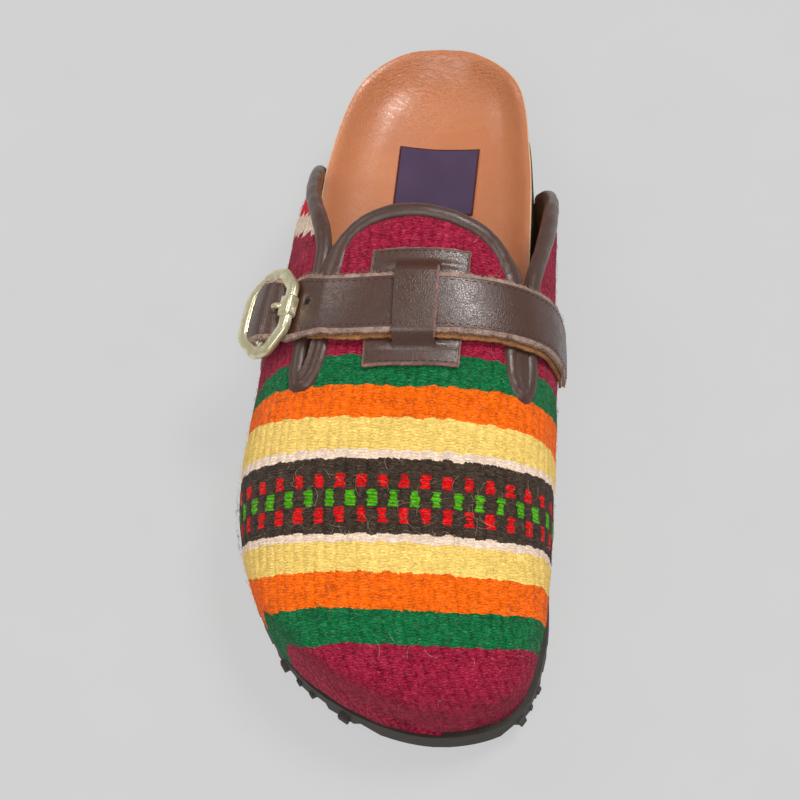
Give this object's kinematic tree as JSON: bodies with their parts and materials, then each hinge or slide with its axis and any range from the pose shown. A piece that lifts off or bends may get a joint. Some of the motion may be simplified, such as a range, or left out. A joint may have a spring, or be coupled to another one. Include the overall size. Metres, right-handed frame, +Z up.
{
  "type": "slip-on clog",
  "caption": "Backless clog with a striped flat-woven upper, rolled leather edge, buckled instep strap, cork footbed and lugged rubber sole.",
  "frame": {"origin": "middle of the bounding box's base, on the floor under the sole", "axes": "+Z up, -Y towards the toe, +X towards the big toe side of the shoe"},
  "size_m": [0.1188, 0.291, 0.0825],
  "materials": {
    "rubber": "matte, slightly dusty",
    "cork": "matte cork",
    "insole_leather": "smooth tan leather",
    "label_cloth": "woven satin",
    "woven_cloth": "flat-woven wool",
    "brown_leather": "semi-gloss leather",
    "tan_leather": "raw tan leather",
    "brass": "worn antique brass"
  },
  "bodies": {
    "root": {"outsole": "rubber", "midsole": "cork", "insole": "insole_leather", "label": "label_cloth", "upper": "woven_cloth", "binding": "brown_leather", "strap": "brown_leather", "strap_backing": "tan_leather", "keeper": "brown_leather", "buckle_frame": "brass", "buckle_prong": "brass", "buckle_chape": "brown_leather"}
  },
  "joints": []
}
